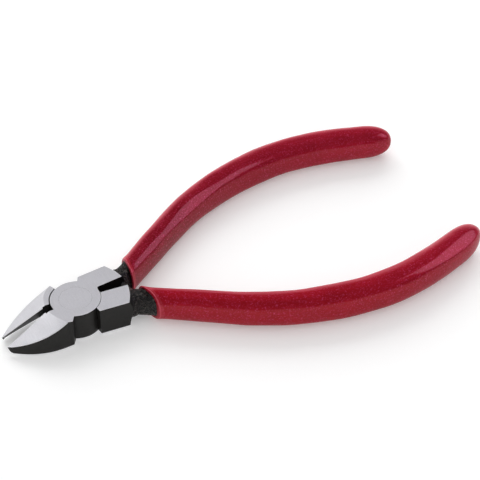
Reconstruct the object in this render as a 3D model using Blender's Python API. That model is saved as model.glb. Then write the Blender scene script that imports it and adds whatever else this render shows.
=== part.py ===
"""Small diagonal cutting pliers, lap jointed, flush-ground face upwards, drawn half open.

Frame: metres, +Z up out of the flush face, Z = 0 on the underside of the head.
The pivot axis is the world Z axis; +X runs from the pivot towards the handle ends
along the line on which the cutting edges meet; +Y is the side of the top-lap lever's handle.
Every outline is worked out in millimetres with the jaws shut and then turned open.
"""
import math

import bmesh
import bpy
import numpy as np

MM = 0.001

# ---- head ---------------------------------------------------------------------------
HEAD_T = 7.6              # full thickness of the head
OPEN_EACH = 5.39          # degrees each lever is turned open from shut
DISC_R = 6.15             # radius of each half-thickness lap disc
POCKET_R = 6.40           # radius of the wall that clears the other lever's disc
LAP_GAP = 0.06            # running gap between the two lap faces
RIVET_HEAD_R = 4.0        # flush countersunk heads, top and bottom
RIVET_SHANK_R = 2.6
RIVET_HEAD_H = 1.5
RIVET_CLEAR = 0.04        # radial running clearance round the rivet

# ---- jaws ---------------------------------------------------------------------------
FACE_ZERO = 7.68          # distance from pivot where the flush face leaves the flat, v = 0
RIDGE_IN = 7.50           # inner end of the ridge, on the wall of the throat notch
NOTCH_END = 8.20          # the notch runs this far from the pivot, then steps in to the edge
EDGE_START = 8.25         # distance from pivot to the near end of the cutting edge
EDGE_END = 19.0           # distance from pivot to the jaw tips
FACE_FALL = 0.543         # fall of the flush face per mm towards the tip
FACE_SIDE_FALL = {1: 0.197, -1: 0.27}         # and per mm sideways, for each lever
RIDGE_OUT = {1: (5.45, 6.25), -1: (4.55, 6.60)}   # outer end of the ridge
EDGE_LAND = 0.15          # small upright land along each cutting edge
HEEL_U, HEEL_V = 4.3, 6.65
HEEL_TURN = {1: (0.80, 1.02), -1: (0.62, 1.15)}   # run of the wall from heel to disc
HEEL_FLARE = (0.25, 0.15)   # the heel corner stands out this much more at the underside
TIP_W = 0.55              # length of the blunt end of the jaw
JAW_SPACING = 0.9         # packs the jaw stations slightly towards the tip
FLANK_W, FLANK_LEN, FLANK_POWER = 6.75, 15.0, 2.4
FLANK_BASE_U = 4.6        # where the curved flank starts, at the underside
FLANK_LEAN = 0.04         # inward lean of the flank at the heel, mm per mm
FLANK_LEAN_TIP = 0.29     # extra lean reached near the tip
RELIEF_SLOPE = 0.66       # the relief under each edge recedes this much per mm of depth
FOOT_W = 0.7              # least width of flat left on the underside along the flank
FOOT_TAPER = 0.4          # share of that width lost by the tip
FOOT_NOTCH = 0.12         # lean of the notch wall from the flat to the underside
TIP_UNDERCUT = 0.45       # the tip leans back this much from its top to the underside
TIP_FROM = 0.6            # share of the jaw beyond which the tip leans back
NOTCH_U, NOTCH_V = 7.3, 0.5
JAW_STATIONS = 13

# ---- shoulders ----------------------------------------------------------------------
SLOT_U = 13.26
SLOT_V_TOP_LAP = 0.70     # slot wall offsets of the two levers
SLOT_V_BOTTOM_LAP = 0.26
SLOT_NOSE = 6.45          # the top-lap slot wall starts this far out, then drops to the disc
SLOT_NOSE_V = -0.05       # where that short wall meets the disc rim
SHOULDER_FRONT = (4.10, 6.43)
SHOULDER_REAR = (11.60, 6.36)
SHOULDER_MID = (12.80, 3.48)
FACET_TURN = {1: (-0.75, -1.15), -1: (-0.25, -1.10)}   # run of the wall in to the disc
REAR_BULGE = (0.0, 0.90, 0.55, -0.10)   # swell of the rear wall at each level, top first

# ---- handles ------------------------------------------------------------------------
HANDLE_START = (12.0, 1.37)
BENDS = ((0.0, 29.5), (27.0, 27.3), (62.0, -1.4), (75.5, -16.8), (98.0, -30.0))
HANDLE_REACH = 102.8      # pivot to handle end along X, shut
GRIP_HALF_W = (3.07, 3.84, 3.54)  # near the mouth, at the palm swell and near the end
GRIP_HALF_T = (4.10, 4.48)        # near the mouth and beyond the palm swell
SWELL = (5.0, 68.0)       # where the grip starts to widen, and over what length
WANE = (76.0, 20.0)       # where it starts to narrow again, and over what length
THICKEN = (5.0, 60.0)     # where it starts to thicken, and over what length
GRIP_POWER = 2.5
GRIP_CAP = 8.4            # length of the rounded end
MOUTH_TOP_LAP = (16.4, 0.16)      # where each dip line crosses the handle, and its slant
MOUTH_BOTTOM_LAP = (16.9, 0.30)
LIP = 0.10                # bead height round the mouth of each grip
BEAD = ((0.0, 0.0), (0.25, 1.0), (0.8, 1.0), (1.5, 0.3), (2.6, 0.0))  # reach, share of lip
SLEEVE_FROM = 12.0        # arc length of the first plain ring behind the bead
TANG_HALF_W, TANG_HALF_T = 2.30, 3.25
TANG_END_W, TANG_END_T = 1.9, 2.7
TANG_TAPER = (20.0, 65.0)         # where the tang starts to taper, and over what length
TANG_POWER = 3.2
TANG_FROM = 6.5           # arc length where the tang leaves the forged neck
NECK = ((10.3, 3.45, -4.0, 2.25, 3.10), (12.0, 3.20, 0.0, 2.45, 3.35),
        (13.6, 3.02, 12.0, 2.42, 3.35), (14.9, 3.12, 23.0, 2.34, 3.28))
TANG_SHORT = 9.0          # the tang stops this far before the grip end
TANG_INNER_V = 0.45       # the necks never come closer to the centre line than this
GRIP_FIT = 0.06           # gap between tang and grip bore
BORE_END_GAP = 0.4        # space past the end of the tang

ROUND_SEG = 64
RING_SEG = 28


def smooth(x):
    x = min(max(x, 0.0), 1.0)
    return x * x * (3.0 - 2.0 * x)


def material(name, colour, roughness, metallic):
    mat = bpy.data.materials.new(name)
    mat.use_nodes = True
    bsdf = mat.node_tree.nodes["Principled BSDF"]
    bsdf.inputs["Base Color"].default_value = (*colour, 1.0)
    bsdf.inputs["Roughness"].default_value = roughness
    bsdf.inputs["Metallic"].default_value = metallic
    mat.diffuse_color = (*colour, 1.0)
    return mat


def mesh_object(name, verts, faces, mat=None):
    """Closed solid from millimetre points; faces are index loops."""
    bm = bmesh.new()
    pts = [bm.verts.new((x * MM, y * MM, z * MM)) for x, y, z in verts]
    for loop in faces:
        bm.faces.new([pts[i] for i in loop])
    bmesh.ops.recalc_face_normals(bm, faces=bm.faces[:])
    mesh = bpy.data.meshes.new(name)
    bm.to_mesh(mesh)
    bm.free()
    obj = bpy.data.objects.new(name, mesh)
    bpy.context.scene.collection.objects.link(obj)
    if mat is not None:
        mesh.materials.append(mat)
    return obj


def boolean(target, cutter, operation):
    cutter.hide_render = True
    cutter.display_type = 'WIRE'
    mod = target.modifiers.new(operation.lower() + "_" + cutter.name, 'BOOLEAN')
    mod.operation = operation
    mod.solver = 'EXACT'
    mod.object = cutter


def turned(points, side):
    """Shut-frame points of the top-lap lever, mirrored for side -1, turned open."""
    a = math.radians(OPEN_EACH) * side
    c, s = math.cos(a), math.sin(a)
    return [(c * u - s * v * side, s * u + c * v * side, z) for u, v, z in points]


# ---- turned bodies ------------------------------------------------------------------
def revolve(name, profile, mat=None, segments=ROUND_SEG):
    """Solid of revolution about the pivot axis from (radius, z) pairs, bottom to top."""
    verts, faces = [], []
    for r, z in profile:
        for k in range(segments):
            a = 2.0 * math.pi * k / segments
            verts.append((r * math.cos(a), r * math.sin(a), z))
    for j in range(len(profile) - 1):
        for k in range(segments):
            n = (k + 1) % segments
            faces.append((j * segments + k, j * segments + n,
                          (j + 1) * segments + n, (j + 1) * segments + k))
    faces.append(tuple(range(segments)))
    faces.append(tuple((len(profile) - 1) * segments + k for k in range(segments)))
    return mesh_object(name, verts, faces, mat)


def rivet_profile(grow, overshoot):
    """Countersunk rivet outline; grow widens it into the matching bore."""
    slope = (RIVET_HEAD_R - RIVET_SHANK_R) / RIVET_HEAD_H
    low_r = RIVET_HEAD_R + grow + slope * overshoot
    return [(low_r, -overshoot), (RIVET_SHANK_R + grow, RIVET_HEAD_H),
            (RIVET_SHANK_R + grow, HEAD_T - RIVET_HEAD_H), (low_r, HEAD_T + overshoot)]


# ---- head and jaw -------------------------------------------------------------------
LEVELS = (1.0, 0.69, 0.38, 0.0)


def face_height(u, v, side):
    """Height of the sloping flush face at u (negative), v (negative outwards)."""
    return HEAD_T + FACE_FALL * (u + FACE_ZERO) + FACE_SIDE_FALL[side] * v


def flank(u):
    """Flank of the jaw on the underside: distance from the centre line at u."""
    x = max(-u - FLANK_BASE_U, 0.0) / FLANK_LEN
    return FLANK_W * max(1.0 - x ** FLANK_POWER, 0.0)


def flank_top(u, side):
    """Point where the leaning flank meets the flush face, at station u."""
    run = max(-u - HEEL_U, 0.0) / (EDGE_END - HEEL_U)
    lean = FLANK_LEAN + FLANK_LEAN_TIP * run * run
    v = -flank(u)
    z = face_height(u, v, side)
    for _ in range(12):
        v = -flank(u) + lean * z
        z = face_height(u, v, side)
    return v, z


def column(top, bottom):
    return [tuple(b + (t - b) * f for t, b in zip(top, bottom)) for f in LEVELS]


def upright(u, v):
    return column((u, v, HEAD_T), (u, v, 0.0))


def rear(u, v):
    """Rear corner of the shoulder, swelling rearwards between the two faces."""
    pts = upright(u, v)
    return [(p[0] + d, p[1], p[2]) for p, d in zip(pts, REAR_BULGE)]


def line_to_disc(p, run):
    """Point where the line from p along run first meets the lap disc circle."""
    dx, dy = run
    a, b = dx * dx + dy * dy, p[0] * dx + p[1] * dy
    c = p[0] ** 2 + p[1] ** 2 - DISC_R ** 2
    t = (-b - math.sqrt(b * b - a * c)) / a
    return p[0] + t * dx, p[1] + t * dy


def arc_columns(p, q, step=2.0 * math.pi / ROUND_SEG):
    """Columns on the disc rim going clockwise from p to q, both included."""
    a0, a1 = math.atan2(p[1], p[0]), math.atan2(q[1], q[0])
    while a1 > a0:
        a1 -= 2.0 * math.pi
    n = max(2, round((a0 - a1) / step))
    return [upright(DISC_R * math.cos(a0 + (a1 - a0) * k / n),
                    DISC_R * math.sin(a0 + (a1 - a0) * k / n)) for k in range(n + 1)]


def on_rim(v, sign):
    """Point of the lap disc rim at this v, on the shoulder (+1) or jaw (-1) side."""
    return sign * math.sqrt(DISC_R ** 2 - v ** 2), v


def jaw_shares():
    """Shares of the jaw length: ridge, both sides of the notch step, then on to the tip."""
    length = EDGE_END - RIDGE_IN
    near = (EDGE_START - RIDGE_IN) / length
    shares = [0.0, (NOTCH_END - RIDGE_IN) / length]
    for k in range(JAW_STATIONS):
        shares.append(near + (1.0 - near) * (k / (JAW_STATIONS - 1)) ** JAW_SPACING)
    return shares


def head_solid(name, side, slot_v, mat):
    """Full-thickness head: shoulder, lap disc and jaw, before the lap is cut."""
    heel_in = line_to_disc((-HEEL_U, -HEEL_V), HEEL_TURN[side])
    facet_in = line_to_disc(SHOULDER_FRONT, FACET_TURN[side])

    first = [rear(SLOT_U, slot_v)]
    if side > 0:
        first.append(upright(SLOT_NOSE, slot_v))
        first += arc_columns(on_rim(SLOT_NOSE_V, 1), heel_in)
    else:
        first += arc_columns(on_rim(slot_v, 1), heel_in)
    flare_u, flare_v = HEEL_FLARE
    first.append(column((-HEEL_U, -HEEL_V, HEAD_T), (-HEEL_U - flare_u, -HEEL_V - flare_v, 0.0)))

    outer, inner = [], []
    ridge_u, ridge_v = RIDGE_OUT[side]
    for k, share in enumerate(jaw_shares()):
        tip_lean = smooth((share - TIP_FROM) / (1.0 - TIP_FROM))
        u_o = -(ridge_u + (EDGE_END - TIP_W - ridge_u) * share)
        u_e = -(RIDGE_IN + (EDGE_END - RIDGE_IN) * share)
        v_o, z_o = flank_top(u_o, side)
        if k == 0:
            v_o, z_o = -ridge_v, HEAD_T
        u_b = u_o - 0.1 * (1.0 - share) + 0.5 * TIP_UNDERCUT * tip_lean
        outer.append(column((u_o, v_o, z_o), (u_b, -flank(u_b), 0.0)))
        if k < 2:
            z_n = HEAD_T if k == 0 else face_height(u_e, -NOTCH_V, side)
            inner.append(column((u_e, -NOTCH_V, z_n), (u_e, -NOTCH_V - FOOT_NOTCH, 0.0)))
            continue
        z_e = face_height(u_e, 0.0, side)
        land = min(EDGE_LAND, 0.5 * z_e)
        back = TIP_UNDERCUT * tip_lean
        foot = min(RELIEF_SLOPE * z_e, flank(u_e + back) - FOOT_W * (1.0 - FOOT_TAPER * share))
        top, low = (u_e, 0.0, z_e - land), (u_e + back, -foot, 0.0)
        mid = tuple(0.5 * (a + b) for a, b in zip(top, low))
        inner.append([(u_e, 0.0, z_e), top, mid, low])

    last = [upright(-NOTCH_U, -NOTCH_V)] + arc_columns(on_rim(-NOTCH_V, -1), facet_in)
    last += [upright(*SHOULDER_FRONT), rear(*SHOULDER_REAR), rear(*SHOULDER_MID)]

    cols = first + outer + inner[::-1] + last
    verts = [p for col in cols for p in col]
    n, rows = len(cols), len(LEVELS)
    faces = []
    for k in range(n):
        m = (k + 1) % n
        for j in range(rows - 1):
            a, b = k * rows + j, k * rows + j + 1
            c, d = m * rows + j + 1, m * rows + j
            faces.append((a, b, c))
            faces.append((a, c, d))
    o0, e_last = len(first), len(first) + len(outer)
    count = len(inner)
    for k in range(count - 1):
        oa, ob = o0 + k, o0 + k + 1
        ea, eb = e_last + count - 1 - k, e_last + count - 2 - k
        faces.append((oa * rows, ob * rows, eb * rows))
        faces.append((oa * rows, eb * rows, ea * rows))
    flat = list(range(0, o0 + 1)) + list(range(e_last + count - 1, n))
    faces.append(tuple(i * rows for i in flat))
    faces.append(tuple(i * rows + rows - 1 for i in range(n)))
    return mesh_object(name, turned(verts, side), faces, mat)


# ---- handles ------------------------------------------------------------------------
STEP = 0.25
ARC = np.arange(0.0, 110.0, STEP)
HEADING = np.radians(np.interp(ARC, [b[0] for b in BENDS], [b[1] for b in BENDS]))
LINE_U = HANDLE_START[0] + np.concatenate([[0.0], np.cumsum(np.cos(HEADING[:-1]) * STEP)])
LINE_V = HANDLE_START[1] + np.concatenate([[0.0], np.cumsum(np.sin(HEADING[:-1]) * STEP)])
ARC_END = float(np.interp(HANDLE_REACH, LINE_U, ARC))


def on_line(s):
    return (float(np.interp(s, ARC, LINE_U)), float(np.interp(s, ARC, LINE_V)),
            float(np.interp(s, ARC, HEADING)))


def section_point(s, theta, half_w, half_t, power):
    """Point on a squared-off oval section square to the handle line at s."""
    u, v, h = on_line(s)
    c, q = math.cos(theta), math.sin(theta)
    x = math.copysign(abs(c) ** (2.0 / power), c) * half_w
    z = math.copysign(abs(q) ** (2.0 / power), q) * half_t
    return u - math.sin(h) * x, v + math.cos(h) * x, HEAD_T / 2.0 + z


def grip_half(s, bead=0.0):
    a, b, c = GRIP_HALF_W
    w = a + (b - a) * smooth((s - SWELL[0]) / SWELL[1]) + (c - b) * smooth((s - WANE[0]) / WANE[1])
    thin, thick = GRIP_HALF_T
    t = thin + (thick - thin) * smooth((s - THICKEN[0]) / THICKEN[1])
    x = (s - (ARC_END - GRIP_CAP)) / GRIP_CAP
    cap = math.sqrt(max(1.0 - max(x, 0.0) ** 2, 0.0))
    return (w + bead) * cap, (t + bead) * cap


def tang_half(s, grow=0.0):
    f = smooth((s - TANG_TAPER[0]) / TANG_TAPER[1])
    return (TANG_HALF_W + (TANG_END_W - TANG_HALF_W) * f + grow,
            TANG_HALF_T + (TANG_END_T - TANG_HALF_T) * f + grow)


def mouth_arc(theta, size, power, dip):
    """Arc length at which this strip of the section crosses the slanted mouth plane."""
    lo, hi = 0.0, 20.0
    for _ in range(40):
        s = 0.5 * (lo + hi)
        u, v, _z = section_point(s, theta, *size(s), power)
        if u - dip[1] * (v - 4.0) < dip[0]:
            lo = s
        else:
            hi = s
    return s


THETAS = [2.0 * math.pi * (k + 0.5) / RING_SEG for k in range(RING_SEG)]
TANG_END = ARC_END - TANG_SHORT
TANG_STATIONS = [TANG_FROM + (TANG_END - TANG_FROM) * k / 22 for k in range(23)]


def tube_faces(start, rings, seg):
    out = []
    for j in range(rings - 1):
        for k in range(seg):
            n = (k + 1) % seg
            a, b = start + j * seg, start + (j + 1) * seg
            out.append((a + k, a + n, b + n))
            out.append((a + k, b + n, b + k))
    return out


def tang_solid(name, side, mat):
    """Neck and tang: grows out of the rear of the shoulder and runs inside the grip."""
    rings = []
    for u, v, deg, half_w, half_t in NECK:
        h = math.radians(deg)
        ring = []
        for th in THETAS:
            c, q = math.cos(th), math.sin(th)
            x = math.copysign(abs(c) ** (2.0 / TANG_POWER), c) * half_w
            z = math.copysign(abs(q) ** (2.0 / TANG_POWER), q) * half_t
            ring.append((u - math.sin(h) * x, v + math.cos(h) * x, HEAD_T / 2.0 + z))
        rings.append(ring)
    for s in TANG_STATIONS:
        rings.append([section_point(s, th, *tang_half(s), TANG_POWER) for th in THETAS])
    rings = [[(u, max(v, TANG_INNER_V + 0.02 * j), z) for u, v, z in ring]
             for j, ring in enumerate(rings)]
    verts = [p for ring in rings for p in ring]
    seg = RING_SEG
    faces = tube_faces(0, len(rings), seg)
    faces.append(tuple(range(seg)))
    faces.append(tuple((len(rings) - 1) * seg + k for k in range(seg)))
    return mesh_object(name, turned(verts, side), faces, mat)


def grip_solid(name, side, dip, mat):
    """Dipped sleeve: rounded end, bead at the slanted mouth, bore following the tang."""
    seg = RING_SEG
    mouth = [mouth_arc(th, grip_half, GRIP_POWER, dip) for th in THETAS]
    body = [SLEEVE_FROM + (ARC_END - GRIP_CAP - SLEEVE_FROM) * (k / 24) for k in range(25)]
    cap = [ARC_END - GRIP_CAP * (1.0 - math.sin(math.pi / 2.0 * k / 7)) for k in range(1, 7)]
    rings = []
    for d, share in BEAD:
        rings.append([section_point(m + d, th, *grip_half(m + d, share * LIP), GRIP_POWER)
                      for th, m in zip(THETAS, mouth)])
    for j, s in enumerate(body + cap):
        ring = []
        for th, m in zip(THETAS, mouth):
            lag = (m - min(mouth)) * math.exp(-0.5 * j)
            ring.append(section_point(s + lag, th, *grip_half(s + lag), GRIP_POWER))
        rings.append(ring)
    verts = [p for ring in rings for p in ring]
    faces = tube_faces(0, len(rings), seg)
    u, v, _h = on_line(ARC_END)
    verts.append((u, v, HEAD_T / 2.0))
    pole, base = len(verts) - 1, (len(rings) - 1) * seg
    faces += [(base + k, base + (k + 1) % seg, pole) for k in range(seg)]

    def bore_size(s):
        return tang_half(s, GRIP_FIT)

    bore_mouth = [mouth_arc(th, bore_size, TANG_POWER, dip) for th in THETAS]
    start = len(verts)
    inner = [[section_point(m, th, *bore_size(m), TANG_POWER)
              for th, m in zip(THETAS, bore_mouth)]]
    for s in [x for x in TANG_STATIONS if x > max(bore_mouth) + 1.0]:
        inner.append([section_point(s, th, *bore_size(s), TANG_POWER) for th in THETAS])
    s = TANG_END + BORE_END_GAP
    inner.append([section_point(s, th, *bore_size(s), TANG_POWER) for th in THETAS])
    verts += [p for ring in inner for p in ring]
    faces += tube_faces(start, len(inner), seg)
    base = start + (len(inner) - 1) * seg
    faces.append(tuple(base + k for k in range(seg)))
    for k in range(seg):
        n = (k + 1) % seg
        faces.append((k, n, start + n))
        faces.append((k, start + n, start + k))
    obj = mesh_object(name, turned(verts, side), faces, mat)
    for poly in obj.data.polygons:
        poly.use_smooth = True
    return obj


def lever(name, side, slot_v, mat):
    """One forged lever; side +1 keeps the upper half of the lap, -1 the lower half."""
    obj = head_solid(name, side, slot_v, mat)
    boolean(obj, tang_solid(name + "_tang", side, None), 'UNION')
    mid = HEAD_T / 2.0 + side * LAP_GAP / 2.0
    low, high = (-1.0, mid) if side > 0 else (mid, HEAD_T + 1.0)
    boolean(obj, revolve(name + "_pocket", [(POCKET_R, low), (POCKET_R, high)]), 'DIFFERENCE')
    boolean(obj, revolve(name + "_bore", rivet_profile(RIVET_CLEAR, 0.5)), 'DIFFERENCE')
    return obj


def main():
    for obj in list(bpy.data.objects):
        bpy.data.objects.remove(obj, do_unlink=True)
    ground = material("ground_steel_a", (0.36, 0.36, 0.37), 0.42, 0.9)
    ground_b = material("ground_steel_b", (0.35, 0.35, 0.36), 0.42, 0.9)
    bright = material("rivet_steel", (0.40, 0.40, 0.41), 0.38, 0.9)
    vinyl = material("red_vinyl_a", (0.45, 0.02, 0.04), 0.28, 0.0)
    vinyl_b = material("red_vinyl_b", (0.44, 0.02, 0.04), 0.28, 0.0)
    lever("lever_top_lap", 1, SLOT_V_TOP_LAP, ground)
    lever("lever_bottom_lap", -1, SLOT_V_BOTTOM_LAP, ground_b)
    rivet = revolve("pivot_rivet", rivet_profile(0.0, 0.0), bright)
    for poly in rivet.data.polygons:
        poly.use_smooth = len(poly.vertices) == 4
    grip_solid("grip_top_lap", 1, MOUTH_TOP_LAP, vinyl)
    grip_solid("grip_bottom_lap", -1, MOUTH_BOTTOM_LAP, vinyl_b)
    bpy.context.view_layer.update()


main()
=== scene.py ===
"""Looks for a pair of small diagonal cutting pliers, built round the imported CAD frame.

The levers and grips are rebuilt here as finer meshes on the same outlines as the CAD solids:
broken edges, keen cutting bevels, forged necks and dipped vinyl sleeves with a rolled mouth.
Shapes are worked out in millimetres with the jaws shut, turned open, and scaled to metres.
"""

import math

import bmesh
import bpy
import numpy as np
from mathutils import Matrix, Vector, noise


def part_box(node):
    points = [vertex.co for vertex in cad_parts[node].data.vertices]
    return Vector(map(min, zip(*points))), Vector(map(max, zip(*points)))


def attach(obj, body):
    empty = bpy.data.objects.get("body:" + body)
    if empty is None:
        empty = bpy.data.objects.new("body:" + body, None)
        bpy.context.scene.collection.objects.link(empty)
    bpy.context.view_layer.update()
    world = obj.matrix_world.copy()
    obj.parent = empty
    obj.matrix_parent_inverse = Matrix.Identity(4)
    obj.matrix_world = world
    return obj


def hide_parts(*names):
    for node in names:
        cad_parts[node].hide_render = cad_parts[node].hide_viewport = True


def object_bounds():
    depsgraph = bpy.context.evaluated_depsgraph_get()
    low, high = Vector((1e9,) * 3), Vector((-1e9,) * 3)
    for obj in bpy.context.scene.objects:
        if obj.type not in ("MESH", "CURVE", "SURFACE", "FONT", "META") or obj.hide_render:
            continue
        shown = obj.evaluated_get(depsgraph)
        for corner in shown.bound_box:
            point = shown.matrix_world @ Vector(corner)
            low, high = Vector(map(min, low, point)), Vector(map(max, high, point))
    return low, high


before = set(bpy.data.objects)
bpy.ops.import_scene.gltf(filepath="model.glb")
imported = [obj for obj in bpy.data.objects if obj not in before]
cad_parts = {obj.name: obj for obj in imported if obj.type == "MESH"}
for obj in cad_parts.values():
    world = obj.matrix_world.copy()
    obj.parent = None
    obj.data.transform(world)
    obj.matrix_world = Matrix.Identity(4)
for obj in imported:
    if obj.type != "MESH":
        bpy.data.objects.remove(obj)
cad_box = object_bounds()
SCENE = bpy.context.scene
MM = 0.001

# ---- dimensions in millimetres: the CAD source's outlines, with finer edges and gaps --
HEAD_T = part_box("pivot_rivet")[1].z / MM
OPEN_EACH = 5.39                      # each lever stands open by this many degrees at rest
DISC_R, POCKET_R = 6.15, 6.36
POCKET_SHIFT = -0.09                  # the lap pocket sits a little nearer the jaw
RIVET_HEAD_R, RIVET_SHANK_R, RIVET_HEAD_H = 4.0, 2.6, 1.5
LAP_GAP, RIVET_CLEAR = 0.025, 0.018   # running gaps, finer than the CAD's

FACE_ZERO, EDGE_END = 7.68, 19.0
RIDGE_IN, NOTCH_END, EDGE_START = 7.50, 8.20, 8.25
FACE_FALL, FACE_SIDE_FALL = 0.543, {1: 0.197, -1: 0.27}
HEEL, HEEL_TURN = (-4.3, -6.65), {1: (0.80, 1.02), -1: (0.62, 1.15)}
RIDGE_OUT = {1: (-5.45, -6.25), -1: (-4.55, -6.60)}
FLANK_W, FLANK_LEN, FLANK_POWER, FLANK_BASE_U = 6.75, 15.0, 2.4, 4.6
FLANK_LEAN, FLANK_LEAN_TIP = 0.04, 0.29
RELIEF_SLOPE, FOOT_W, TIP_UNDERCUT = 0.66, 0.7, 0.45
NOTCH = (-7.3, -0.5)
KEEN_BACK, KEEN_DROP = 0.13, 0.13     # the honed bevel along each cutting edge, painted bright as a highlight
LAND_BOW = {1: 0.40, -1: 0.81}        # bow of the ridge that runs round the lap disc
LAND_BLEND = 3.6                      # run over which the bowed start eases into the flat face
BOW_REACH = 0.34                      # share of the jaw over which the bow dies away
TIP_INSET = 0.55                      # the flank ends this far short of the cutting edge
HEEL_DRAFT = (0.25, 0.15)             # the heel's corner leans out this far at the underside

SLOT_U, SLOT_NOSE, SLOT_NOSE_V = 13.26, 6.45, -0.05
SHOULDER_FRONT, SHOULDER_REAR, SHOULDER_MID = (4.10, 6.43), (11.60, 6.36), (12.80, 3.48)
FACET_TURN = {1: (-0.75, -1.15), -1: (-0.25, -1.10)}
REAR_CURVE = np.polyfit((1.0, 0.69, 0.38, 0.0), (0.0, 0.90, 0.55, -0.10), 3)

HANDLE_START = (12.0, 1.37)
BENDS = ((0.0, 29.5), (27.0, 27.3), (62.0, -1.4), (75.5, -16.8), (98.0, -30.0))
HANDLE_REACH = 102.8
GRIP_HALF_W, GRIP_HALF_T = (3.07, 3.84, 3.54), (4.10, 4.48)
GRIP_POWER, GRIP_CAP, CAP_POWER = 2.5, 8.4, 2.35
FAR_POWER = 2.12                      # the upper shoulder on each grip's +Y side is rounder
FAR_WIDE = {1: 0.10, -1: 0.13}        # and that side is wider by this share of its half width
MOUTH_ROLL, MOUTH_BEAD = 0.50, 0.17   # run and height of the rolled bead round a grip's mouth
MOUTH_V = 4.0                         # distance off the centre line where the mouth is measured
MOUTH = {1: (16.4, 0.16), -1: (16.9, 0.30)}     # where the mouth is cut, and its slant
TANG_HALF_W, TANG_HALF_T, TANG_END_W, TANG_END_T = 2.30, 3.25, 1.9, 2.7
TANG_POWER, TANG_SHORT, TANG_INNER_V = 3.2, 9.0, 0.45
GRIP_FIT = 0.06
NECK_ROOT = (                         # u, v, heading in degrees, half width, half thickness
    (10.3, 3.45, -4.0, 2.25, 3.1), (12.0, 3.20, 0.0, 2.45, 3.35),
    (13.6, 3.02, 12.0, 2.42, 3.35), (14.9, 3.12, 23.0, 2.34, 3.28))
LUMPY_RUN, FINE_RING, COARSE_RING = 15.0, 0.16, 1.5
LUMPS_IN, LUMPS_OUT = (1.0, 1.5), (9.5, 2.0)    # start and length of each end of the lumps

# planed flats of each grip: place along the handle line, reach, corner it cuts, depth
INNER_TOP, OUTER_TOP = math.radians(133.0), math.radians(47.0)
FLATS = {
    1: ((13.0, 9.0, INNER_TOP, 0.18), (31.0, 11.0, INNER_TOP, 0.38), (53.0, 10.0, INNER_TOP, 0.11)),
    -1: ((92.0, 13.0, OUTER_TOP, 0.42), (66.0, 8.0, OUTER_TOP, 0.07))}

ROWS, ACROSS = 7, 9                   # points down a wall, and cells across the flush face
LEVELS = [1.0 - j / (ROWS - 1) for j in range(ROWS)]
ARC_SEG, OVAL_SEG = 144, 96
THETAS = [2.0 * math.pi * (k + 0.5) / OVAL_SEG for k in range(OVAL_SEG)]
GROUND, OXIDE, FORGED, KEEN_HIGHLIGHT, SLOT_SHADE = range(5)      # material slots of a lever
RIM_BREAK = 0.06                      # broken edge between the ground faces and the black walls
CORNER_BREAK = 0.13                   # broken upright corners of the walls


def smooth(x):
    """Smooth step from 0 to 1 as x goes from 0 to 1."""
    x = min(max(x, 0.0), 1.0)
    return x * x * (3.0 - 2.0 * x)


def turned(points, side):
    """Shut-frame points, mirrored for side -1 and turned open."""
    a = math.radians(OPEN_EACH) * side
    c, s = math.cos(a), math.sin(a)
    return [(c * u - s * v * side, s * u + c * v * side, z) for u, v, z in points]


def object_from(name, bm, scale=1.0):
    """Object holding the scaled bmesh, with its faces pointing out."""
    mesh = bpy.data.meshes.new(name)
    bmesh.ops.scale(bm, vec=(scale,) * 3, verts=bm.verts)
    bmesh.ops.recalc_face_normals(bm, faces=bm.faces[:])
    bm.to_mesh(mesh)
    bm.free()
    obj = bpy.data.objects.new(name, mesh)
    SCENE.collection.objects.link(obj)
    return obj


def close_tube(bm, rings):
    """Walls between neighbouring rings of vertices, and a cap on the first and the last."""
    for a, b in zip(rings, rings[1:]):
        for k in range(len(a)):
            n = (k + 1) % len(a)
            bm.faces.new((a[k], a[n], b[n], b[k]))
    bm.faces.new(rings[0])
    bm.faces.new(rings[-1])


# ---- head ---------------------------------------------------------------------------
def column(top, bottom):
    """Points down a wall, from its top point to its bottom point."""
    return [tuple(b + (t - b) * f for t, b in zip(top, bottom)) for f in LEVELS]


def upright(u, v):
    """A wall column straight down through the head."""
    return column((u, v, HEAD_T), (u, v, 0.0))


def rear(u, v):
    """A wall column of the shoulder's rear face, which is bowed from top to bottom."""
    return [(p[0] + float(np.polyval(REAR_CURVE, f)), p[1], p[2])
            for p, f in zip(upright(u, v), LEVELS)]


def line_to_disc(p, dx, dy):
    """Point where the line from p along (dx, dy) first meets the lap disc."""
    a, b = dx * dx + dy * dy, p[0] * dx + p[1] * dy
    c = p[0] ** 2 + p[1] ** 2 - DISC_R ** 2
    t = (-b - math.sqrt(b * b - a * c)) / a
    return p[0] + t * dx, p[1] + t * dy


def arc_columns(p, q):
    """Wall columns clockwise round the lap disc from p to q."""
    a0, a1 = math.atan2(p[1], p[0]), math.atan2(q[1], q[0])
    while a1 > a0:
        a1 -= 2.0 * math.pi
    n = max(2, round((a0 - a1) / (2.0 * math.pi / ARC_SEG)))
    return [upright(DISC_R * math.cos(a0 + (a1 - a0) * k / n),
                    DISC_R * math.sin(a0 + (a1 - a0) * k / n)) for k in range(n + 1)]


def face_height(u, v, side):
    """Height of the jaw's flush face, which falls toward the tip."""
    return HEAD_T + FACE_FALL * (u + FACE_ZERO) + FACE_SIDE_FALL[side] * v


def flank(u):
    """Half width of the jaw's curved back at the underside."""
    x = max(-u - FLANK_BASE_U, 0.0) / FLANK_LEN
    return FLANK_W * max(1.0 - x ** FLANK_POWER, 0.0)


def flank_top(u, side):
    """The jaw's back where its leaning wall meets the flush face, found by iteration."""
    run = max(-u + HEEL[0], 0.0) / (EDGE_END + HEEL[0])
    lean = FLANK_LEAN + FLANK_LEAN_TIP * run * run
    v = -flank(u)
    for _ in range(14):
        v = -flank(u) + lean * face_height(u, v, side)
    return v


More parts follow.
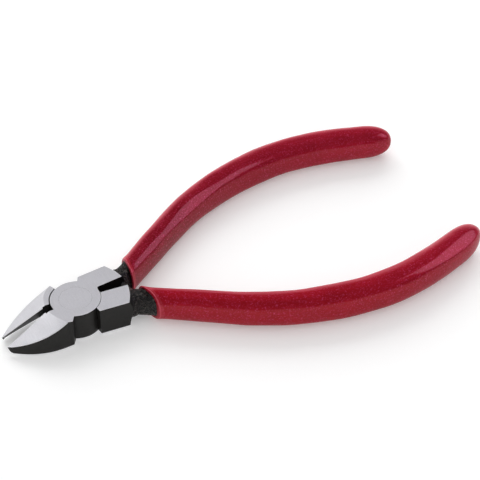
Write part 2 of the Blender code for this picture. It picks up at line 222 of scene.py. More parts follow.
def on_rim(v, sign):
    """Point of the lap disc's rim at this v, on its rear (1) or its front (-1)."""
    return sign * math.sqrt(DISC_R ** 2 - v ** 2), v


def jaw_shares():
    """Stations along the jaw as shares of its length, closest together round the notch."""
    length = EDGE_END - RIDGE_IN
    ridge = [0.0, 0.012, 0.026, 0.042]
    step = [(NOTCH_END - RIDGE_IN) / length, (EDGE_START - RIDGE_IN) / length]
    return ridge + step + [0.085, 0.110] + [0.14 + 0.86 * k / 31 for k in range(32)]


def shoulder_rear(slot_v):
    """Rear outline of the shoulder: two straight runs with a soft bend between them."""
    a, m, b = (np.array(p) for p in (SHOULDER_REAR, SHOULDER_MID, (SLOT_U, slot_v)))
    start, end = m + (a - m) * 0.4, m + (b - m) * 0.4
    pts = [a]
    for x in (0.0, 0.25, 0.5, 0.75, 1.0):
        pts.append(start * (1 - x) ** 2 + m * 2 * x * (1 - x) + end * x ** 2)
    return [rear(float(p[0]), float(p[1])) for p in pts]


def head_mesh(side, slot_v):
    """Shoulder, lap disc and jaw at full thickness, with every outline edge broken."""
    heel_in = line_to_disc(HEEL, *HEEL_TURN[side])
    facet_in = line_to_disc(SHOULDER_FRONT, *FACET_TURN[side])
    first = [rear(SLOT_U, slot_v)]
    if side > 0:
        first.append(upright(SLOT_NOSE, slot_v))
        first += arc_columns(on_rim(SLOT_NOSE_V, 1), heel_in)
    else:
        first += arc_columns(on_rim(slot_v, 1), heel_in)
    first.append(column((*HEEL, HEAD_T), (HEEL[0] - HEEL_DRAFT[0], HEEL[1] - HEEL_DRAFT[1], 0.0)))

    # the flush face is a grid: along the jaw by station, across it by share
    grid, outer, inner, keen_at = [], [], [], []
    out0 = np.array(RIDGE_OUT[side])
    ridge = np.array([-RIDGE_IN, NOTCH[1]]) - out0
    tipward = np.array([-ridge[1], ridge[0]]) / np.hypot(*ridge)
    start, start_depth = None, None
    for share in jaw_shares():
        tip_lean = smooth((share - 0.6) / 0.4)
        u_o = out0[0] - (EDGE_END - TIP_INSET + out0[0]) * share
        u_e = -(RIDGE_IN + (EDGE_END - RIDGE_IN) * share)
        v_o = out0[1] if share == 0.0 else flank_top(u_o, side)
        edge = u_e < -NOTCH_END - 0.01
        keen_at.append(edge)
        a, b = np.array([u_o, v_o]), np.array([u_e, -KEEN_BACK if edge else NOTCH[1]])
        line = []
        for i in range(ACROSS + 1):
            f = i / ACROSS
            p = a + (b - a) * f
            fading = max(1.0 - share / BOW_REACH, 0.0) ** 2
            line.append(p + tipward * (LAND_BOW[side] * 4.0 * f * (1.0 - f) * fading))
        depths = [max(HEAD_T - face_height(*p, side), 0.0) for p in line]
        if start is None:
            start, start_depth = line, depths
        pts = []
        for p, p0, depth, d0 in zip(line, start, depths, start_depth):
            depth -= d0 * max(1.0 - float(np.hypot(*(p - p0))) / LAND_BLEND, 0.0)
            pts.append((float(p[0]), float(p[1]), HEAD_T - max(depth, 0.0)))
        grid.append(pts)
        u_b = u_o - 0.1 * (1.0 - share) + 0.5 * TIP_UNDERCUT * tip_lean
        outer.append(column(pts[0], (u_b, -flank(u_b), 0.0)))
        if not edge:
            inner.append(column(pts[-1], (u_e, NOTCH[1] - 0.12, 0.0)))
            continue
        z_e, back = face_height(u_e, 0.0, side), TIP_UNDERCUT * tip_lean
        foot = min(RELIEF_SLOPE * z_e, flank(u_e + back) - FOOT_W * (1.0 - 0.4 * share))
        top, low = np.array([u_e, 0.0, z_e - KEEN_DROP]), np.array([u_e + back, -foot, 0.0])
        relief = [tuple(top + (low - top) * j / (ROWS - 2)) for j in range(ROWS - 1)]
        inner.append([pts[-1]] + relief)

    rear_line = shoulder_rear(slot_v)
    last = [upright(*NOTCH)] + arc_columns(on_rim(NOTCH[1], -1), facet_in)
    last += [upright(*SHOULDER_FRONT)] + rear_line

    cols = first + outer + inner[::-1] + last
    n, o0 = len(cols), len(first)
    i0 = o0 + len(outer)
    bm = bmesh.new()
    rows = [[bm.verts.new(p) for p in turned(col, side)] for col in cols]
    inside = {}
    for k, pts in enumerate(grid):
        for i, p in enumerate(turned(pts[1:-1], side)):
            inside[k, i + 1] = bm.verts.new(p)

    def cell(k, i):
        """Vertex of the flush face at station k and share i."""
        if i == 0:
            return rows[o0 + k][0]
        if i == ACROSS:
            return rows[i0 + len(grid) - 1 - k][0]
        return inside[k, i]

    honed = [i0 <= k < i0 + len(inner) and keen_at[i0 + len(inner) - 1 - k] for k in range(n)]
    # walls facing into the slot take near-black painted shade
    shaded_slot_walls = (0, 1) if side > 0 else (0,)
    for k in range(n):
        m = (k + 1) % n
        for j in range(ROWS - 1):
            face = bm.faces.new((rows[k][j], rows[k][j + 1], rows[m][j + 1], rows[m][j]))
            # the top row of a honed bevel takes the keen steel, painted bright as a highlight
            face.material_index = KEEN_HIGHLIGHT if j == 0 and honed[k] and honed[m] else OXIDE
            if k in shaded_slot_walls:
                face.material_index = SLOT_SHADE
    for k in range(len(grid) - 1):
        for i in range(ACROSS):
            bm.faces.new((cell(k, i), cell(k + 1, i), cell(k + 1, i + 1), cell(k, i + 1)))
    flat = [rows[k][0] for k in range(o0)] + [cell(0, i) for i in range(ACROSS + 1)]
    bm.faces.new(flat + [rows[k][0] for k in range(i0 + len(inner), n)])
    bm.faces.new([rows[k][-1] for k in range(n)])
    bmesh.ops.recalc_face_normals(bm, faces=bm.faces[:])

    corners = [0, o0 - 1, n - len(rear_line) - 1, n - len(rear_line)]
    uprights = [bm.edges.get((rows[c][j], rows[c][j + 1])) for c in corners
                for j in range(ROWS - 1)]
    bmesh.ops.bevel(bm, geom=uprights, offset=CORNER_BREAK, offset_type='OFFSET', segments=3,
                    profile=0.5, affect='EDGES', clamp_overlap=False, material=-1)

    def rim(edge):
        """True where a ground face meets a black wall."""
        kinds = sorted(f.material_index for f in edge.link_faces)
        return kinds in ([GROUND, OXIDE], [GROUND, SLOT_SHADE])

    # broken rims take the keen steel too, painted bright as highlight lines
    bmesh.ops.bevel(bm, geom=[e for e in bm.edges if rim(e)], offset=RIM_BREAK,
                    offset_type='OFFSET', segments=3, profile=0.5, affect='EDGES',
                    clamp_overlap=False, material=KEEN_HIGHLIGHT)
    return bm


def revolved(profile, shift=0.0):
    """Closed turned cutter through (radius, height) points, shifted along X."""
    bm = bmesh.new()
    rings = [[bm.verts.new((shift + r * math.cos(2 * math.pi * k / ARC_SEG),
                            r * math.sin(2 * math.pi * k / ARC_SEG), z))
              for k in range(ARC_SEG)] for r, z in profile]
    close_tube(bm, rings)
    for f in bm.faces:
        f.material_index = OXIDE
    return bm


# ---- handle line --------------------------------------------------------------------
STEP = 0.25
ARC = np.arange(0.0, 110.0, STEP)
HEADING = np.radians(np.interp(ARC, [b[0] for b in BENDS], [b[1] for b in BENDS]))
LINE_U = HANDLE_START[0] + np.concatenate([[0.0], np.cumsum(np.cos(HEADING[:-1]) * STEP)])
LINE_V = HANDLE_START[1] + np.concatenate([[0.0], np.cumsum(np.sin(HEADING[:-1]) * STEP)])
ARC_END = float(np.interp(HANDLE_REACH, LINE_U, ARC))
TANG_END = ARC_END - TANG_SHORT


def on_line(s):
    """Place and heading on the handle line at arc length s."""
    return (float(np.interp(s, ARC, LINE_U)), float(np.interp(s, ARC, LINE_V)),
            float(np.interp(s, ARC, HEADING)))


def squared(theta, power):
    """Point of a unit superellipse; 2 is round and higher powers are squarer."""
    c, q = math.cos(theta), math.sin(theta)
    return (math.copysign(abs(c) ** (2.0 / power), c), math.copysign(abs(q) ** (2.0 / power), q))


def section_point(place, theta, half_w, half_t, power, cuts=(), far=0, wide=0.0):
    """Point of a squared oval section, with a flat planed off each listed corner.

    far is the sign of the half that is wider by the share wide and rounder at its top.
    """
    u, v, h = place
    beyond = far * math.cos(theta) > 0.0
    x, z = squared(theta, FAR_POWER if beyond and math.sin(theta) > 0.0 else power)
    x, z = x * half_w * (1.0 + wide if beyond else 1.0), z * half_t
    k = power / (power - 1.0)
    for corner, depth in cuts:
        c, q = math.cos(corner), math.sin(corner)
        limit = (abs(half_w * c) ** k + abs(half_t * q) ** k) ** (1.0 / k) - depth
        over = x * c + z * q - limit
        if over > 0.0:
            back = over - 0.05 * (1.0 - math.exp(-over / 0.05))
            x, z = x - c * back, z - q * back
    return u - math.sin(h) * x, v + math.cos(h) * x, HEAD_T / 2.0 + z


def grip_half(s):
    """Half width and half thickness of a grip, closing in a rounded end."""
    a, b, c = GRIP_HALF_W
    w = a + (b - a) * smooth((s - 5.0) / 68.0) + (c - b) * smooth((s - 76.0) / 20.0)
    t = GRIP_HALF_T[0] + (GRIP_HALF_T[1] - GRIP_HALF_T[0]) * smooth((s - 5.0) / 60.0)
    x = (s - (ARC_END - GRIP_CAP)) / GRIP_CAP
    cap = max(1.0 - max(x, 0.0) ** CAP_POWER, 0.0) ** (1.0 / CAP_POWER)
    return w * cap, t * cap


def tang_half(s):
    """Half width and half thickness of the tang inside a grip."""
    f = smooth((s - 20.0) / 65.0)
    return (TANG_HALF_W + (TANG_END_W - TANG_HALF_W) * f,
            TANG_HALF_T + (TANG_END_T - TANG_HALF_T) * f)


# ---- necks and tangs ----------------------------------------------------------------
def tang_mesh(side):
    """Forged neck, lumpy where it shows, running on as a plain tang inside the grip."""
    stations = [(u, v, math.radians(d), w, t) for u, v, d, w, t in NECK_ROOT]
    for k in range(60):
        s = 6.5 + (TANG_END - 6.5) * k / 59
        stations.append((*on_line(s), *tang_half(s)))
    table = np.array(stations)
    run = np.concatenate([[0.0], np.cumsum(np.hypot(*np.diff(table[:, :2], axis=0).T))])
    fine = np.arange(0.0, LUMPY_RUN, FINE_RING)
    coarse = np.arange(LUMPY_RUN, run[-1], COARSE_RING)
    bm, rings = bmesh.new(), []
    for r in list(fine) + list(coarse) + [run[-1]]:
        u, v, h, w, t = (float(np.interp(r, run, table[:, i])) for i in range(5))
        show = smooth((r - LUMPS_IN[0]) / LUMPS_IN[1])
        show *= 1.0 - smooth((r - LUMPS_OUT[0]) / LUMPS_OUT[1])
        pts = []
        for th in THETAS:
            p = Vector(section_point((u, v, h), th, w, t, TANG_POWER))
            if show > 0.0:
                q = p + Vector((31.0 * side, 0.0, 0.0))
                lump = noise.noise(q * 0.9) * 0.14 + noise.noise(q * 2.1) * 0.09
                lump += (abs(noise.noise(q * 3.7)) - 0.2) * 0.10
                out = Vector((p.x - u, p.y - v, p.z - HEAD_T / 2.0)).normalized()
                p += out * (lump - 0.03) * show
            p.y = max(p.y, TANG_INNER_V + 0.02)
            pts.append(tuple(p))
        rings.append([bm.verts.new(p) for p in turned(pts, side)])
    close_tube(bm, rings)
    for f in bm.faces:
        f.material_index = FORGED
    return bm


def combine(target, cutter, operation):
    """Apply a Boolean to target and remove the cutter."""
    mod = target.modifiers.new(operation, 'BOOLEAN')
    mod.operation = operation
    mod.solver = 'EXACT'
    mod.object = cutter
    graph = bpy.context.evaluated_depsgraph_get()
    mesh = bpy.data.meshes.new_from_object(target.evaluated_get(graph))
    target.modifiers.clear()
    old = target.data
    target.data = mesh
    bpy.data.meshes.remove(old)
    bpy.data.objects.remove(cutter)


def soften(obj, angle=28.0):
    """Smooth shading with creases, and flats kept flat beside the broken edges."""
    bm = bmesh.new()
    bm.from_mesh(obj.data)
    limit = math.radians(angle)
    for f in bm.faces:
        f.smooth = True
    for e in bm.edges:
        e.smooth = e.is_manifold and e.calc_face_angle(4.0) < limit
    bm.to_mesh(obj.data)
    bm.free()
    mod = obj.modifiers.new("even_normals", 'WEIGHTED_NORMAL')
    mod.keep_sharp = True
    mod.weight = 80


def lever(name, side, slot_v, mats, body, node):
    """One forging: head, neck and tang, with its lap pocket and rivet bore cut away."""
    obj = object_from(name, head_mesh(side, slot_v))
    for m in mats:
        obj.data.materials.append(m)
    neck = object_from(name + "_neck", tang_mesh(side))
    mid = HEAD_T / 2.0 + side * LAP_GAP / 2.0
    low, high = (-1.0, mid) if side > 0 else (mid, HEAD_T + 1.0)
    pocket = object_from("pocket", revolved([(POCKET_R, low), (POCKET_R, high)],
                                            shift=POCKET_SHIFT))
    slope = (RIVET_HEAD_R - RIVET_SHANK_R) / RIVET_HEAD_H
    r_out, r_in = RIVET_HEAD_R + RIVET_CLEAR + slope * 0.5, RIVET_SHANK_R + RIVET_CLEAR
    bore = object_from("bore", revolved([(r_out, -0.5), (r_in, RIVET_HEAD_H),
                                         (r_in, HEAD_T - RIVET_HEAD_H), (r_out, HEAD_T + 0.5)]))
    for part in (neck, pocket, bore):
        for m in mats:
            part.data.materials.append(m)
    combine(obj, neck, 'UNION')
    combine(obj, pocket, 'DIFFERENCE')
    combine(obj, bore, 'DIFFERENCE')
    obj.data.transform(Matrix.Scale(MM, 4))
    soften(obj)
    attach(obj, body)
    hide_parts(node)
    return obj


# ---- grips --------------------------------------------------------------------------
def mouth_arc(theta, size, power, dip):
    """Arc length at which the slanted mouth plane cuts the section at this angle."""
    lo, hi = 0.0, 20.0
    for _ in range(36):
        s = 0.5 * (lo + hi)
        u, v, _z = section_point(on_line(s), theta, *size(s), power)
        if u - dip[1] * (v - MOUTH_V) < dip[0]:
            lo = s
        else:
            hi = s
    return s


# rings of the mouth bead painted paler as a highlight, and the material slot of each
PAINTED_LIP_HIGHLIGHT_BANDS = {6: 1, 7: 1, 8: 1, 9: 2, 10: 2}


def bore_half(s):
    """Half width and half thickness of the hole in a grip."""
    return tuple(h + GRIP_FIT for h in tang_half(s))


def grip_mesh(side, seed):
    """Dipped sleeve with a rolled mouth, softly uneven like vinyl that has run and set."""
    mouth = [mouth_arc(th, grip_half, GRIP_POWER, MOUTH[side]) for th in THETAS]
    bore_mouth = [mouth_arc(th, bore_half, TANG_POWER, MOUTH[side]) for th in THETAS]

    def skin(s, th, lift):
        """Point of the outer skin, raised by lift."""
        w, t = grip_half(s)
        ease = smooth((ARC_END - s) / 9.0)
        end = smooth((ARC_END - s) / 7.0)
        power = GRIP_POWER + 0.45 * noise.noise(Vector((s * 0.045, seed, 0.3))) * ease
        cuts = [(corner, depth * math.exp(-((s - s_at) / reach) ** 2) * end)
                for s_at, reach, corner, depth in FLATS[side]]
        wide = FAR_WIDE[side] * smooth((s - 5.0) / 14.0)
        x, y, z = section_point(on_line(s), th, w, t, power, cuts, side, wide)
        u, v, _h = on_line(s)
        out = Vector((x - u, y - v, z - HEAD_T / 2.0))
        if out.length > 1e-6:
            out.normalize()
        c, q = math.cos(th), math.sin(th)
        swell = 0.11 * noise.noise(Vector((s * 0.11, c * 1.3 + seed, q * 1.3)))
        swell += 0.05 * noise.noise(Vector((s * 0.24, c * 2.2, q * 2.2 + seed)))
        return tuple(Vector((x, y, z)) + out * (lift + swell * ease))

    # rolled mouth: from the bore edge round a small bead and onto the skin
    rings = []
    for k in range(9):
        x = k / 8
        f = math.sin(x * math.pi * 0.5)
        d = MOUTH_ROLL * (1.0 - math.cos(x * math.pi * 0.5))
        ring = []
        for th, m, m_bore in zip(THETAS, mouth, bore_mouth):
            inner = section_point(on_line(m_bore + 0.15), th, *bore_half(m_bore), TANG_POWER)
            outer = skin(m + d, th, MOUTH_BEAD * x)
            ring.append(tuple(i + (o - i) * f for i, o in zip(inner, outer)))
        rings.append(ring)
    for d, share in ((0.65, 1.0), (0.95, 0.95), (1.4, 0.6), (2.0, 0.25), (2.8, 0.04)):
        rings.append([skin(m + d, th, MOUTH_BEAD * share) for th, m in zip(THETAS, mouth)])

    # body and rounded end; the slant of the mouth dies away from ring to ring
    low = min(mouth)
    body = list(np.arange(11.0, ARC_END - GRIP_CAP, 0.8))
    cap = [ARC_END - GRIP_CAP * (1.0 - math.sin(math.pi / 2.0 * k / 22)) for k in range(22)]
    for j, s in enumerate(body + cap):
        slant = math.exp(-0.13 * j)
        ring = []
        for th, m in zip(THETAS, mouth):
            slanted = s + (m - low) * slant
            ring.append(skin(slanted if slanted < ARC_END else s, th, 0.0))
        rings.append(ring)

    # the skin, and the bore up to the end of the tang
    bm = bmesh.new()
    loops = [[bm.verts.new(p) for p in turned(ring, side)] for ring in rings]
    u, v, _h = on_line(ARC_END)
    pole = bm.verts.new(turned([(u, v, HEAD_T / 2.0)], side)[0])
    bore = []
    stations = list(np.arange(max(bore_mouth) + 1.2, TANG_END, 3.0)) + [TANG_END + 0.4]
    for s in stations:
        ring = [section_point(on_line(s), th, *bore_half(s), TANG_POWER) for th in THETAS]
        bore.append([bm.verts.new(p) for p in turned(ring, side)])
    bands = list(zip(loops, loops[1:])) + [(loops[0], bore[0])] + list(zip(bore, bore[1:]))
    for i, (a, b) in enumerate(bands):
        for k in range(OVAL_SEG):
            n = (k + 1) % OVAL_SEG
            bm.faces.new((a[k], a[n], b[n], b[k])).material_index = PAINTED_LIP_HIGHLIGHT_BANDS.get(i, 0)
    for k in range(OVAL_SEG):
        bm.faces.new((loops[-1][k], loops[-1][(k + 1) % OVAL_SEG], pole))
    bm.faces.new(bore[-1])
    for f in bm.faces:
        f.smooth = True
    return bm


def grip(name, side, seed, mats, body, node):
    """One dipped sleeve riding on its lever's body."""
    obj = object_from(name, grip_mesh(side, seed), MM)
    for m in mats:
        obj.data.materials.append(m)
    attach(obj, body)
    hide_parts(node)
    return obj


# ---- materials ----------------------------------------------------------------------
class Nodes:
    """Small helper for building a node material round one Principled shader."""

    def __init__(self, name):
        self.mat = bpy.data.materials.new(name)
        self.mat.use_nodes = True
        self.tree = self.mat.node_tree
        self.bsdf = self.tree.nodes["Principled BSDF"]
        self.coord = self.add("ShaderNodeTexCoord").outputs["Object"]

    def add(self, kind, **settings):
        node = self.tree.nodes.new(kind)
        for key, value in settings.items():
            setattr(node, key, value)
        return node

    def link(self, a, b):
        self.tree.links.new(a, b)

    def mapped(self, scale, turn=(0.0, 0.0, 0.0)):
        node = self.add("ShaderNodeMapping")
        node.inputs["Scale"].default_value = scale
        node.inputs["Rotation"].default_value = [math.radians(x) for x in turn]
        self.link(self.coord, node.inputs["Vector"])
        return node.outputs["Vector"]

    def noise(self, scale, detail=3.0, rough=0.5, vector=None, distortion=0.0):
        node = self.add("ShaderNodeTexNoise")
        node.inputs["Scale"].default_value = scale
        node.inputs["Detail"].default_value = detail
        node.inputs["Roughness"].default_value = rough
        node.inputs["Distortion"].default_value = distortion
        self.link(self.coord if vector is None else vector, node.inputs["Vector"])
        return node.outputs["Fac"]

    def ramp(self, value, low, high, out_low, out_high):
        node = self.add("ShaderNodeMapRange")
        for key, x in zip(("From Min", "From Max", "To Min", "To Max"),
                          (low, high, out_low, out_high)):
            node.inputs[key].default_value = x
        self.link(value, node.inputs["Value"])
        return node.outputs["Result"]

    def colours(self, value, *stops):
        node = self.add("ShaderNodeValToRGB")
        ramp = node.color_ramp
        while len(ramp.elements) < len(stops):
            ramp.elements.new(0.5)
        for element, (place, colour) in zip(ramp.elements, stops):
            element.position = place
            element.color = (*colour, 1.0)
        self.link(value, node.inputs["Fac"])
        return node.outputs["Color"]

    def maths(self, operation, a, b):
        node = self.add("ShaderNodeMath", operation=operation)
        for socket, x in zip(node.inputs, (a, b)):
            if isinstance(x, (int, float)):
                socket.default_value = x
            else:
                self.link(x, socket)
        return node.outputs["Value"]

    def mix(self, factor, a, b):
        node = self.add("ShaderNodeMix", data_type='RGBA')
        self.link(factor, node.inputs["Factor"])
        self.link(a, node.inputs[6])
        self.link(b, node.inputs[7])
        return node.outputs[2]

    def bump(self, height, strength, distance, below=None):
        node = self.add("ShaderNodeBump")
        node.inputs["Strength"].default_value = strength
        node.inputs["Distance"].default_value = distance
        self.link(height, node.inputs["Height"])
        if below is not None:
            self.link(below, node.inputs["Normal"])
        return node.outputs["Normal"]

    def shade(self, colour=None, roughness=None, normal=None, **constants):
        for socket, value in (("Base Color", colour), ("Roughness", roughness), ("Normal", normal)):
            if value is not None:
                self.link(value, self.bsdf.inputs[socket])
        for name, value in constants.items():
            socket = name.replace("_", " ").title().replace("Ior", "IOR")
            self.bsdf.inputs[socket].default_value = value
        return self.mat


def ground_steel(name, turn, tone=1.0):
    """Satin surface-ground steel: fine parallel grain with a few longer scratches."""
    m = Nodes(name)
    streak = m.noise(1.0, 4.0, 0.6, m.mapped((11000.0, 420.0, 420.0), (0.0, 0.0, turn)))
    cross = m.noise(1.0, 3.0, 0.55, m.mapped((5200.0, 260.0, 260.0), (0.0, 0.0, turn + 9.0)))
    speck = m.noise(5200.0, 3.0, 0.65)
    cloud = m.noise(420.0, 3.0, 0.55)
    grain = m.maths('ADD', m.maths('MULTIPLY', streak, 0.6), m.maths('MULTIPLY', cross, 0.4))
    tint = m.colours(grain,
                     (0.30, (0.74 * tone, 0.735 * tone, 0.77 * tone)),
                     (0.50, (0.84 * tone, 0.835 * tone, 0.87 * tone)),
                     (0.70, (0.94 * tone, 0.935 * tone, 0.97 * tone)))
    dull = m.colours(speck,
                     (0.35, (0.76 * tone, 0.755 * tone, 0.79 * tone)),
                     (0.65, (0.92 * tone, 0.915 * tone, 0.95 * tone)))
    colour = m.mix(m.ramp(cloud, 0.3, 0.7, 0.25, 0.6), tint, dull)
    rough = m.maths('ADD', m.ramp(grain, 0.3, 0.7, 0.51, 0.60), m.ramp(cloud, 0.3, 0.7, 0.0, 0.06))
    normal = m.bump(grain, 0.20, 0.000012, m.bump(speck, 0.12, 0.000008))
    return m.shade(colour, rough, normal, metallic=0.7)


def keen_steel_painted_highlight(name):
    """Honed bevels and broken edges, painted brighter than the ground faces as highlight lines."""
    m = Nodes(name)
    hone = m.noise(1.0, 3.0, 0.5, m.mapped((2500.0, 14000.0, 2500.0)))
    colour = m.colours(hone, (0.3, (0.80, 0.80, 0.82)), (0.7, (0.93, 0.93, 0.94)))
    return m.shade(colour, m.ramp(hone, 0.3, 0.7, 0.34, 0.46), m.bump(hone, 0.1, 0.000008),
                   metallic=0.3)


def black_oxide(name):
    """Thin even black oxide over a milled wall, very slightly mottled."""
    m = Nodes(name)
    mottle = m.noise(900.0, 5.0, 0.6)
    fine = m.noise(9000.0, 3.0, 0.6)
    lines = m.noise(1.0, 3.0, 0.5, m.mapped((700.0, 700.0, 11000.0)))
    colour = m.colours(mottle, (0.3, (0.0112, 0.0106, 0.0096)), (0.7, (0.0172, 0.0165, 0.0150)))
    rough = m.maths('ADD', m.ramp(mottle, 0.3, 0.7, 0.36, 0.46), m.ramp(lines, 0.3, 0.7, 0.0, 0.06))
    normal = m.bump(lines, 0.10, 0.00001, m.bump(fine, 0.18, 0.00001))
    return m.shade(colour, rough, normal, metallic=0.0, specular_ior_level=0.22)


def painted_slot_shade(name):
    """Dull near-black painted on the sawn slot's walls as shade."""
    m = Nodes(name)
    mottle = m.noise(1400.0, 4.0, 0.6)
    fine = m.noise(8000.0, 3.0, 0.6)
    colour = m.colours(mottle, (0.3, (0.0016, 0.0012, 0.0010)), (0.7, (0.0036, 0.0028, 0.0024)))
    normal = m.bump(mottle, 0.3, 0.00004, m.bump(fine, 0.2, 0.00001))
    return m.shade(colour, m.ramp(mottle, 0.3, 0.7, 0.75, 0.95), normal, specular_ior_level=0.05)


def forged_black(name):
    """As-forged scale under black oxide: lumps and pits, with small glints painted pale on the lump
    crests.
    """
    m = Nodes(name)
    lumps = m.noise(1350.0, 4.0, 0.65, distortion=0.5)
    pits = m.add("ShaderNodeTexVoronoi", feature='F1')
    pits.inputs["Scale"].default_value = 2300.0
    m.link(m.coord, pits.inputs["Vector"])
    fine = m.noise(7000.0, 4.0, 0.65)
    # the top stop paints small pale glints on the lump crests
    colour = m.colours(lumps, (0.30, (0.0012, 0.0008, 0.0006)), (0.50, (0.0030, 0.0021, 0.0016)),
                       (0.66, (0.0700, 0.0620, 0.0560)))
    rough = m.ramp(lumps, 0.3, 0.7, 0.30, 0.16)
    normal = m.bump(lumps, 1.0, 0.00050,
                    m.bump(pits.outputs["Distance"], 0.9, 0.00020, m.bump(fine, 0.35, 0.00003)))
    return m.shade(colour, rough, normal, metallic=0.0, specular_ior_level=0.34)


def red_vinyl(name, seed, low_x_red_end, body_red_start, dark, pale=(0.0, 0.0, 0.0)):
    """Glossy dipped vinyl: deep red, finely flecked, with a painted pink highlight on grazing upper
    faces.

    It is darker toward low X, below the first of its two X bounds, and even past the second.
    """
    def tone(r, g, b):
        """Colour made paler by the material's own painted highlight amount."""
        return r + pale[0], g + pale[1], b + pale[2]

    m = Nodes(name)
    cloud = m.noise(160.0 + seed, 3.0, 0.55)
    fleck = m.noise(2300.0, 3.0, 0.75)
    peel = m.noise(420.0 + seed, 2.0, 0.5)
    ripple = m.noise(2600.0, 2.0, 0.5)
    deep = m.colours(cloud, (0.25, tone(0.290, 0.0070, 0.0180)),
                     (0.75, tone(0.355, 0.0100, 0.0250)))
    # a second red used toward low X, with its red scaled by dark
    low_x_red = m.colours(cloud, (0.25, tone(0.290 * dark, 0.0055, 0.0125)),
                      (0.75, tone(0.355 * dark, 0.0075, 0.0175)))
    split = m.add("ShaderNodeSeparateXYZ")
    m.link(m.coord, split.inputs["Vector"])
    body = m.mix(m.ramp(split.outputs["X"], low_x_red_end, body_red_start, 0.0, 1.0), low_x_red, deep)
    light = m.colours(fleck, (0.50, tone(0.380, 0.0140, 0.0400)),
                      (0.75, tone(0.640, 0.0700, 0.1700)))
    colour = m.mix(m.ramp(fleck, 0.47, 0.68, 0.0, 0.78), body, light)
    # edge: pinker colour painted on as a highlight where upper faces are seen at grazing angles
    edge = m.colours(cloud, (0.25, tone(0.480, 0.0400, 0.0700)),
                     (0.75, tone(0.560, 0.0520, 0.0900)))
    facing = m.add("ShaderNodeLayerWeight").outputs["Facing"]
    normal_parts = m.add("ShaderNodeSeparateXYZ")
    m.link(m.add("ShaderNodeTexCoord").outputs["Normal"], normal_parts.inputs["Vector"])
    # where the painted highlight goes: faces seen at grazing angles that also point upward
    painted_rim_highlight_mask = m.maths('MULTIPLY', m.ramp(facing, 0.36, 0.62, 0.0, 0.80),
                       m.ramp(normal_parts.outputs["Z"], 0.15, 0.45, 0.0, 1.0))
    colour = m.mix(painted_rim_highlight_mask, colour, edge)
    rough = m.maths('ADD', m.ramp(cloud, 0.3, 0.7, 0.32, 0.40), m.ramp(fleck, 0.4, 0.7, 0.0, 0.08))
    normal = m.bump(peel, 0.20, 0.00010,
                    m.bump(ripple, 0.14, 0.000014, m.bump(fleck, 0.10, 0.00001)))
    coat_normal = m.bump(peel, 0.20, 0.00010, m.bump(ripple, 0.10, 0.000010))
    m.link(coat_normal, m.bsdf.inputs["Coat Normal"])
    return m.shade(colour, rough, normal, metallic=0.28, specular_ior_level=0.0,
                   specular_tint=(1.0, 0.40, 0.46, 1.0), coat_weight=0.66,
                   coat_roughness=0.11, coat_ior=1.34)


# ---- the object ---------------------------------------------------------------------
ground_a = ground_steel("ground_steel_a", 24.0, 0.80)
ground_b = ground_steel("ground_steel_b", 31.0, 0.80)
oxide, forged = black_oxide("black_oxide"), forged_black("forged_black")
keen_highlight, slot_painted_shade = keen_steel_painted_highlight("keen_steel_painted_highlight"), painted_slot_shade("slot_painted_shade")
lever("lever_top_lap_fine", 1, 0.70, (ground_a, oxide, forged, keen_highlight, slot_painted_shade),
      "top_lap_half", "lever_top_lap")
lever("lever_bottom_lap_fine", -1, 0.26, (ground_b, oxide, forged, keen_highlight, slot_painted_shade),
      "bottom_lap_half", "lever_bottom_lap")

vinyl_a = red_vinyl("red_vinyl_a", 0.0, 0.030, 0.085, 0.70)
vinyl_b = red_vinyl("red_vinyl_b", 17.0, 0.060, 0.095, 1.04)
# paler copies of the vinyl, painted on the mouth bead as a highlight that fades off
lip_highlight = red_vinyl("red_vinyl_lip_highlight", 7.0, 0.0, 1.0, 1.0, (0.17, 0.050, 0.066))
lip_highlight_fade = red_vinyl("red_vinyl_lip_highlight_fade", 7.0, 0.0, 1.0, 1.0, (0.05, 0.014, 0.018))
grip("grip_top_lap_fine", 1, 3.0, (vinyl_a, lip_highlight, lip_highlight_fade),
     "top_lap_half", "grip_top_lap")
grip("grip_bottom_lap_fine", -1, 9.0, (vinyl_b, lip_highlight, lip_highlight_fade),
     "bottom_lap_half", "grip_bottom_lap")
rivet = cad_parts["pivot_rivet"]
rivet.material_slots[0].material = ground_steel("rivet_steel", 27.0, 0.81)

# ---- floor, light and camera --------------------------------------------------------
bm = bmesh.new()
bmesh.ops.create_grid(bm, x_segments=8, y_segments=8, size=4.0)
floor = object_from("floor", bm)
floor.location = (0.04, 0.0, cad_box[0].z)
sheet = Nodes("floor_paper")
white = sheet.colours(sheet.noise(6.0, 2.0),
                      (0.3, (0.84, 0.84, 0.84)), (0.7, (0.855, 0.855, 0.855)))
matt = sheet.ramp(sheet.noise(40.0, 2.0), 0.3, 0.7, 0.85, 0.95)
floor.data.materials.append(sheet.shade(white, matt, specular_ior_level=0.1,
                                        emission_strength=0.24))

TARGET = Vector((48.67, 7.88, 0.0)) * MM
AZIMUTH, ELEVATION, ROLL, DISTANCE = -26.594, 41.483, -0.972, 454.09 * MM
FOCAL_LENGTH, SENSOR_WIDTH = 132.84, 36.0


def away(azimuth, elevation):
    """Unit vector from the tool; azimuth 0 is toward -Y and 90 toward +X."""
    a, e = math.radians(azimuth), math.radians(elevation)
    return Vector((math.sin(a) * math.cos(e), -math.cos(a) * math.cos(e), math.sin(e)))


def aimed(obj, place, target, roll=0.0):
    """Put a light or a camera at place, facing target."""
    turn = (target - place).to_track_quat('-Z', 'Y').to_matrix().to_4x4()
    obj.matrix_world = (Matrix.Translation(place) @ turn
                        @ Matrix.Rotation(math.radians(roll), 4, 'Z'))


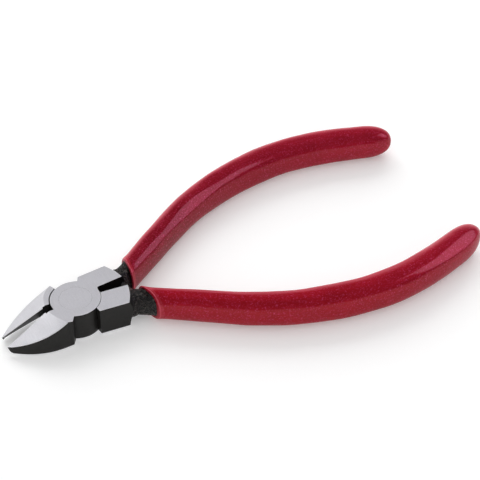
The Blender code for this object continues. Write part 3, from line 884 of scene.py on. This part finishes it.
def softbox(name, azimuth, elevation, distance, width, height, radiance, **flags):
    """Rectangular light facing the tool; radiance is (strength, colour)."""
    light = bpy.data.lights.new(name, 'AREA')
    light.shape = 'RECTANGLE'
    light.size, light.size_y = width, height
    light.energy = radiance[0] * width * height * math.pi
    light.color = radiance[1]
    obj = bpy.data.objects.new(name, light)
    SCENE.collection.objects.link(obj)
    for key, value in flags.items():
        setattr(obj, key, value)
    aimed(obj, TARGET + away(azimuth, elevation) * distance, TARGET)
    return obj


# boxes seen in reflections, then the ones that only light matt surfaces
softbox("key_back_left", 235.0, 50.5, 1.0, 1.0, 0.8, (1.56, (0.985, 0.985, 1.0)),
        visible_diffuse=False)
softbox("side_right", 66.0, 32.0, 1.0, 0.66, 0.62, (3.3, (0.80, 0.72, 1.0)),
        visible_diffuse=False)
softbox("glint", 228.0, 47.0, 1.0, 0.16, 0.16, (11.0, (1.0, 1.0, 1.0)), visible_diffuse=False)
softbox("wash", 150.0, 80.0, 1.7, 3.4, 3.4, (0.86, (1.0, 1.0, 1.0)), visible_glossy=False)
softbox("back_glow", 160.0, 34.0, 1.6, 2.0, 1.0, (2.7, (1.0, 1.0, 1.0)), visible_glossy=False)
softbox("front_fill", -30.0, 26.0, 1.6, 2.4, 1.0, (1.2, (1.0, 1.0, 1.0)), visible_glossy=False)

# the room: pale at the horizon behind the tool, dim elsewhere; past the floor, plain pale paper
world = bpy.data.worlds.new("studio")
SCENE.world = world
world.use_nodes = True
sky = world.node_tree
room = sky.nodes["Background"]
compass = sky.nodes.new("ShaderNodeSeparateXYZ")
sky.links.new(sky.nodes.new("ShaderNodeTexCoord").outputs["Generated"], compass.inputs["Vector"])


def fade(socket, low, high, out_low, out_high):
    """Smooth step of a world value from out_low to out_high."""
    node = sky.nodes.new("ShaderNodeMapRange")
    node.interpolation_type = 'SMOOTHSTEP'
    for key, x in zip(("From Min", "From Max", "To Min", "To Max"), (low, high, out_low, out_high)):
        node.inputs[key].default_value = x
    sky.links.new(socket, node.inputs["Value"])
    return node.outputs["Result"]


def arithmetic(operation, a, b):
    """World maths node; b is a socket or a number."""
    node = sky.nodes.new("ShaderNodeMath")
    node.operation = operation
    sky.links.new(a, node.inputs[0])
    if isinstance(b, float):
        node.inputs[1].default_value = b
    else:
        sky.links.new(b, node.inputs[1])
    return node.outputs["Value"]


glow = arithmetic('MULTIPLY', fade(compass.outputs["Z"], 0.10, 0.66, 1.0, 0.0),
                  fade(compass.outputs["Y"], 0.25, 0.85, 0.06, 1.0))
strength = arithmetic('ADD', arithmetic('MULTIPLY', glow, 0.85), 0.05)
sky.links.new(strength, room.inputs["Strength"])
room.inputs["Color"].default_value = (1.0, 0.99, 1.0, 1.0)
paper = sky.nodes.new("ShaderNodeBackground")
paper.inputs["Color"].default_value = (0.94, 0.94, 0.95, 1.0)
path = sky.nodes.new("ShaderNodeLightPath")
either = sky.nodes.new("ShaderNodeMixShader")
sky.links.new(path.outputs["Is Camera Ray"], either.inputs["Fac"])
sky.links.new(room.outputs["Background"], either.inputs[1])
sky.links.new(paper.outputs["Background"], either.inputs[2])
sky.links.new(either.outputs["Shader"], sky.nodes["World Output"].inputs["Surface"])

camera = bpy.data.objects.new("camera", bpy.data.cameras.new("camera"))
SCENE.collection.objects.link(camera)
camera.data.sensor_width, camera.data.lens = SENSOR_WIDTH, FOCAL_LENGTH
camera.data.clip_start, camera.data.clip_end = 0.01, 20.0
aimed(camera, TARGET + away(AZIMUTH, ELEVATION) * DISTANCE, TARGET, ROLL)
SCENE.camera = camera
SCENE.view_settings.view_transform = 'Standard'
